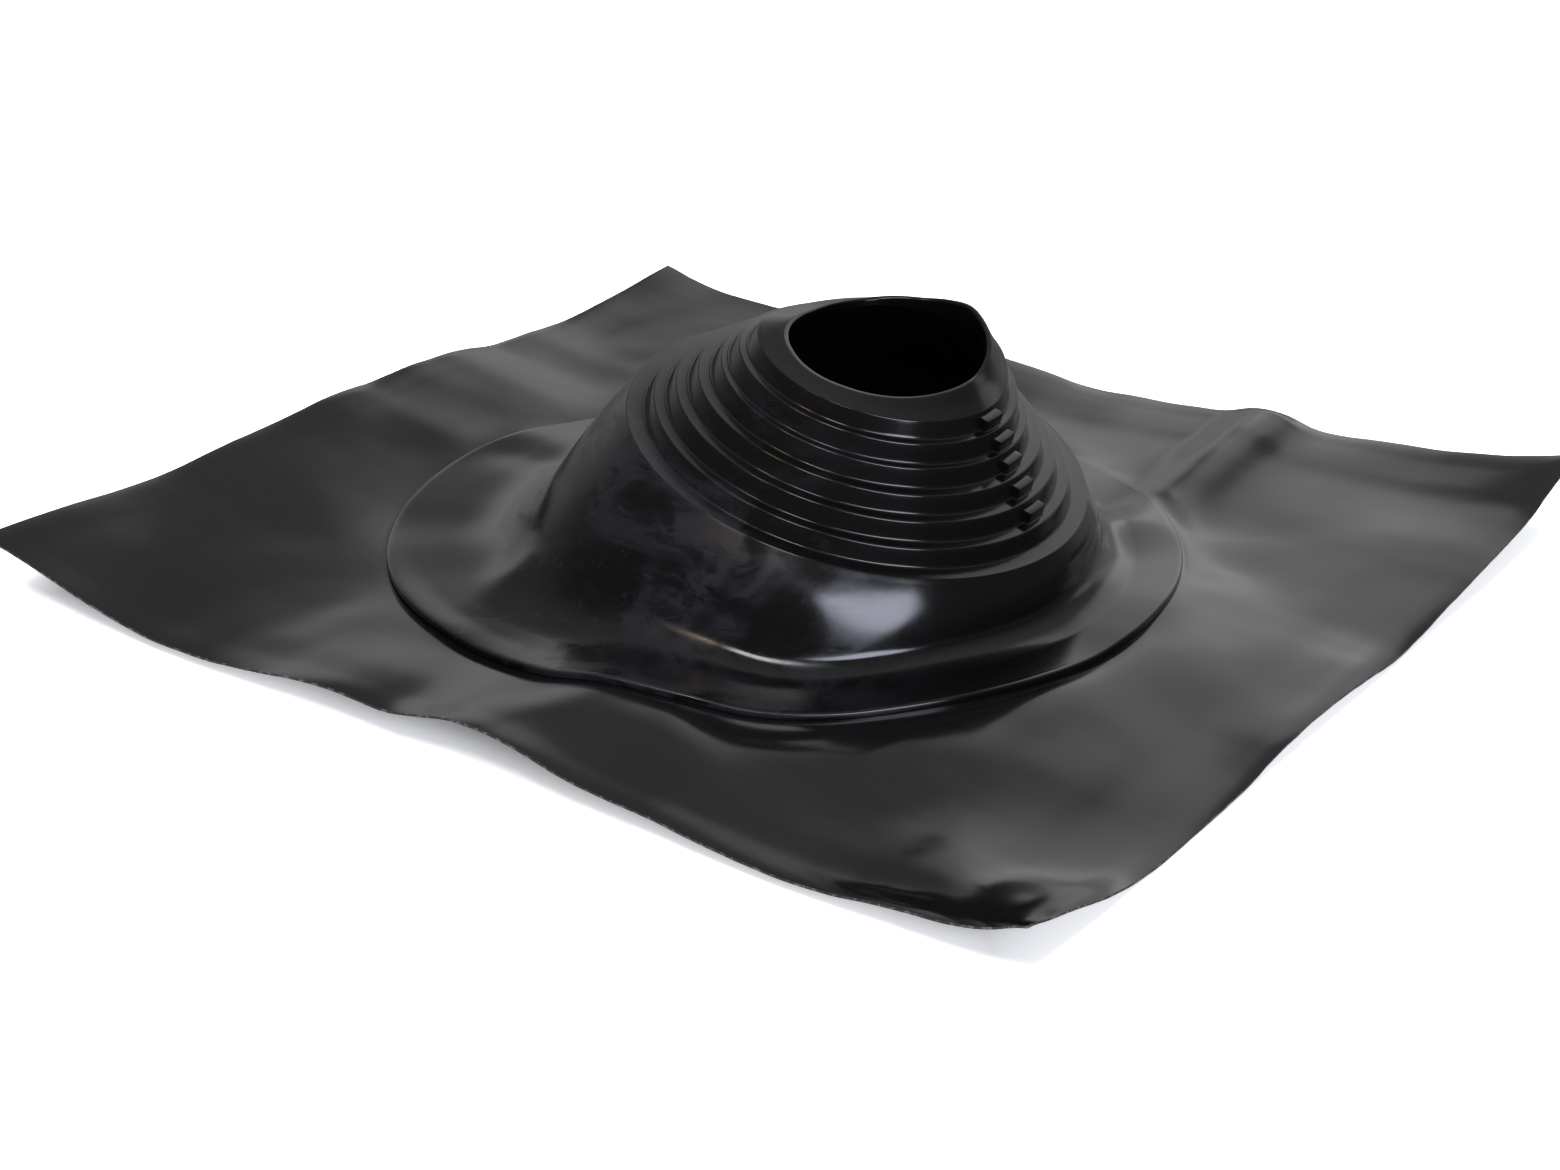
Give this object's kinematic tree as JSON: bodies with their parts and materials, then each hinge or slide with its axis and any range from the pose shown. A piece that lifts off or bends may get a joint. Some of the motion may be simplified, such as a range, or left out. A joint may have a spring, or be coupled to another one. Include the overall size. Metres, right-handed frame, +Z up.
{
  "type": "roof pipe flashing",
  "caption": "Roof pipe flashing: a leaning stepped rubber cone with a moulded foot flange, bonded on a large soft black metal sheet that is dressed to the roof round a pipe.",
  "frame": {"origin": "middle of the sheet's plan, at the level the sheet lies on", "axes": "+Z up from the roof, +X the way the stepped cone leans, +Y across it"},
  "size_m": [0.5, 0.485, 0.1203],
  "materials": {
    "black_rubber": "moulded, glossy with dusty smudges",
    "black_sheet": "satin black coating, hand-bent"
  },
  "bodies": {
    "root": {"rubber_boot": "black_rubber", "flashing_sheet": "black_sheet"}
  },
  "joints": []
}
